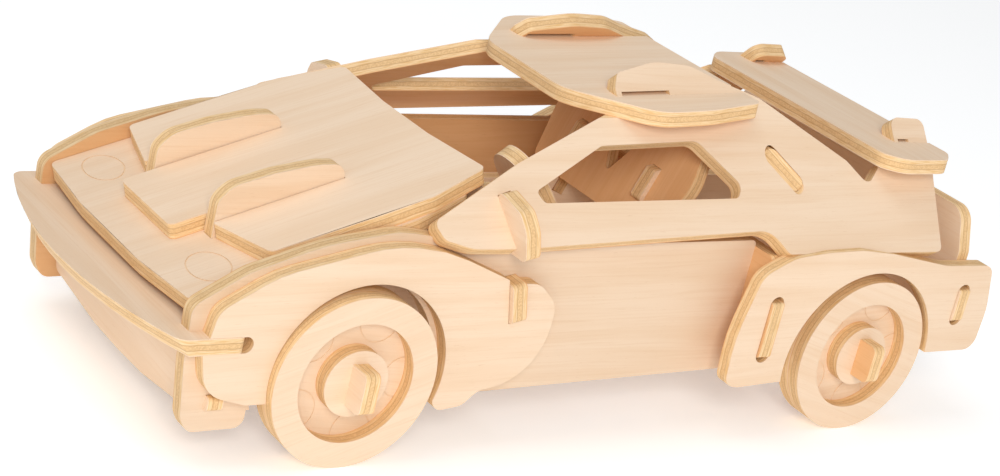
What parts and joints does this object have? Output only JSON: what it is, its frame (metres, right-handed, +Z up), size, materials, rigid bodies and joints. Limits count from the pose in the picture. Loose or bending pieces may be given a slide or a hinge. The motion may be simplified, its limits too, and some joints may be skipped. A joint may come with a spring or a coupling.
{
  "type": "wooden jigsaw puzzle car",
  "caption": "Low wedge-shaped sports car assembled from interlocking flat plywood plates, with slatted bonnet, rear wing and turning wheels.",
  "frame": {"origin": "on the ground, under the middle of the whole car", "axes": "-X towards the nose, +X towards the tail, -Y the car's left side, +Z up"},
  "size_m": [0.1874, 0.0884, 0.0669],
  "materials": {
    "plywood_body": "bare sanded birch plywood",
    "plywood_inside": "bare birch plywood",
    "plywood_wheels": "bare sanded birch plywood"
  },
  "bodies": {
    "chassis": {"side_lower_left": "plywood_body", "side_lower_right": "plywood_body", "side_upper_left": "plywood_body", "side_upper_right": "plywood_body", "fender_front_left": "plywood_body", "fender_front_right": "plywood_body", "fender_rear_left": "plywood_body", "fender_rear_right": "plywood_body", "bumper": "plywood_body", "valance": "plywood_inside", "hood_lower": "plywood_body", "hood_upper": "plywood_body", "rail_left": "plywood_inside", "rail_right": "plywood_inside", "mirror_wall": "plywood_inside", "steering_wheel": "plywood_inside", "seat_back": "plywood_inside", "seat_wall": "plywood_inside", "rear_window_board": "plywood_inside", "tail_wall": "plywood_inside", "roof": "plywood_body", "wing": "plywood_body"},
    "front_axle": {"front_axle_bar": "plywood_wheels", "wheel_front_left_ring": "plywood_wheels", "wheel_front_left_disc": "plywood_wheels", "wheel_front_left_hub": "plywood_wheels", "wheel_front_right_ring": "plywood_wheels", "wheel_front_right_disc": "plywood_wheels", "wheel_front_right_hub": "plywood_wheels"},
    "rear_axle": {"rear_axle_bar": "plywood_wheels", "wheel_rear_left_ring": "plywood_wheels", "wheel_rear_left_disc": "plywood_wheels", "wheel_rear_left_hub": "plywood_wheels", "wheel_rear_right_ring": "plywood_wheels", "wheel_rear_right_disc": "plywood_wheels", "wheel_rear_right_hub": "plywood_wheels"}
  },
  "joints": [
    {"name": "front_axle_turn", "type": "hinge", "parent": "chassis", "child": "front_axle", "pos_m": [-0.0533, 0, 0.016], "axis": [0, 1, 0], "continuous": true},
    {"name": "rear_axle_turn", "type": "hinge", "parent": "chassis", "child": "rear_axle", "pos_m": [0.0625, 0, 0.016], "axis": [0, 1, 0], "continuous": true}
  ]
}
